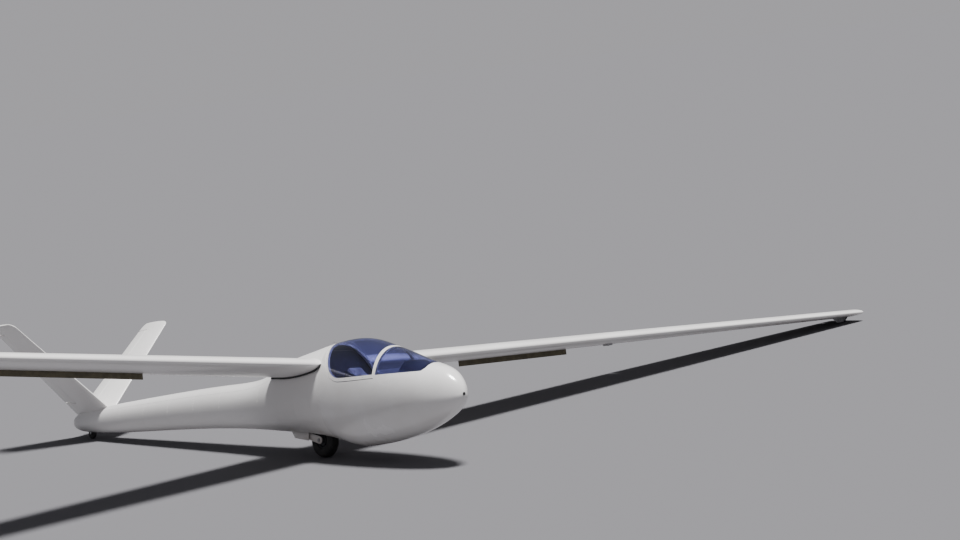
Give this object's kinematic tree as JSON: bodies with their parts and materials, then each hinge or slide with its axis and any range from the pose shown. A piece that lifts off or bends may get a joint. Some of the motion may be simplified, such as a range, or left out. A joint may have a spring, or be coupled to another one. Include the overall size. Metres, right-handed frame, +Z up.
{
  "type": "single-seat v-tail sailplane glider",
  "caption": "Parked single-seat sailplane: long tapered shoulder wings, deep pod with a blown canopy, slim boom, V tail, one main wheel and one wing tip on the ground.",
  "frame": {"origin": "bottom centre of the bounding box, on the ground that the glider is parked on", "axes": "+X to starboard, across the fuselage's track on the ground; +Y forward, nose towards +Y; +Z up. The airframe is banked about 8 degrees to port, on its port wing tip, and its nose is up about 5 degrees"},
  "size_m": [15.0774, 6.4994, 2.3529],
  "materials": {
    "gel_coat": "gloss white",
    "paint": "gloss white",
    "acrylic": "clear with a blue tint",
    "tyre": "worn",
    "bare_metal": "satin",
    "primer": "matte olive",
    "cockpit_trim": "matte black",
    "upholstery": "woven"
  },
  "bodies": {
    "airframe": {"back_cushion": "upholstery", "centre_fuselage": "paint", "control_stick": "cockpit_trim", "floor_board": "primer", "gear_door_port": "paint", "gear_door_starboard": "paint", "gear_fork": "paint", "headrest": "upholstery", "instrument_panel": "cockpit_trim", "main_axle": "bare_metal", "pod_shell": "gel_coat", "rudder_pedals": "bare_metal", "seat_cushion": "upholstery", "seat_pan": "primer", "stabiliser_port": "paint", "stabiliser_starboard": "paint", "tail_axle": "bare_metal", "tail_boom": "paint", "tail_cone": "paint", "tail_fork": "bare_metal", "tie_down_port": "bare_metal", "tie_down_starboard": "bare_metal", "tip_skid_port": "bare_metal", "tip_skid_starboard": "bare_metal", "tow_hook": "bare_metal", "windshield": "acrylic", "windshield_bow": "paint", "wing_port": "paint", "wing_starboard": "paint", "wing_tip_port": "paint", "wing_tip_starboard": "paint"},
    "canopy": {"canopy_frame": "paint", "canopy_glass": "acrylic"},
    "main_wheel": {"main_tyre": "tyre", "main_rim": "bare_metal"},
    "tail_wheel": {"tail_tyre": "tyre", "tail_rim": "bare_metal"},
    "flap_port": {"flap_port": "paint"},
    "aileron_port": {"aileron_port": "paint"},
    "ruddervator_port": {"ruddervator_port": "paint"},
    "dive_brake_port": {"dive_brake_port": "primer"},
    "flap_starboard": {"flap_starboard": "paint"},
    "aileron_starboard": {"aileron_starboard": "paint"},
    "ruddervator_starboard": {"ruddervator_starboard": "paint"},
    "dive_brake_starboard": {"dive_brake_starboard": "primer"}
  },
  "joints": [
    {"name": "canopy_hinge", "type": "hinge", "parent": "airframe", "child": "canopy", "pos_m": [0.02397, 1.4833, 1.06099], "axis": [0.9891, -0.012, 0.1469], "range_deg": [0, 60]},
    {"name": "main_wheel_spin", "type": "hinge", "parent": "airframe", "child": "main_wheel", "pos_m": [0.15457, 1.25276, 0.16286], "axis": [-0.9891, 0.012, -0.1469], "continuous": true},
    {"name": "tail_wheel_spin", "type": "hinge", "parent": "airframe", "child": "tail_wheel", "pos_m": [0.12096, -2.80214, 0.05709], "axis": [-0.9891, 0.012, -0.1469], "continuous": true},
    {"name": "flap_port_hinge", "type": "hinge", "parent": "airframe", "child": "flap_port", "pos_m": [-2.19366, 0.91099, 0.55064], "axis": [0.9952, -0.0267, 0.0945], "range_deg": [-5, 40]},
    {"name": "flap_starboard_hinge", "type": "hinge", "parent": "airframe", "child": "flap_starboard", "pos_m": [2.27993, 0.85658, 1.21511], "axis": [0.98, 0.0027, 0.1989], "range_deg": [-5, 40]},
    {"name": "aileron_port_hinge", "type": "hinge", "parent": "airframe", "child": "aileron_port", "pos_m": [-5.72425, 1.0295, 0.22016], "axis": [0.9949, -0.0415, 0.0915], "range_deg": [-22, 22]},
    {"name": "aileron_starboard_hinge", "type": "hinge", "parent": "airframe", "child": "aileron_starboard", "pos_m": [5.75596, 0.88988, 1.92533], "axis": [0.9793, 0.0175, 0.2017], "range_deg": [-22, 22]},
    {"name": "ruddervator_port_hinge", "type": "hinge", "parent": "airframe", "child": "ruddervator_port", "pos_m": [-0.48364, -2.9793, 0.6799], "axis": [0.7986, 0.1599, -0.5803], "range_deg": [-25, 25]},
    {"name": "ruddervator_starboard_hinge", "type": "hinge", "parent": "airframe", "child": "ruddervator_starboard", "pos_m": [0.51408, -2.99143, 0.82809], "axis": [0.5914, -0.1768, 0.7867], "range_deg": [-25, 25]},
    {"name": "dive_brake_port_slide", "type": "slide", "parent": "airframe", "child": "dive_brake_port", "axis": [0.147, 0.1562, -0.9767], "range_m": [-0.055, 0]},
    {"name": "dive_brake_starboard_slide", "type": "slide", "parent": "airframe", "child": "dive_brake_starboard", "axis": [0.147, 0.1562, -0.9767], "range_m": [-0.055, 0]}
  ],
  "couplings": [
    {"joint": "flap_starboard_hinge", "follows": "flap_port_hinge", "ratio": 1},
    {"joint": "aileron_starboard_hinge", "follows": "aileron_port_hinge", "ratio": -1},
    {"joint": "dive_brake_starboard_slide", "follows": "dive_brake_port_slide", "ratio": 1}
  ]
}
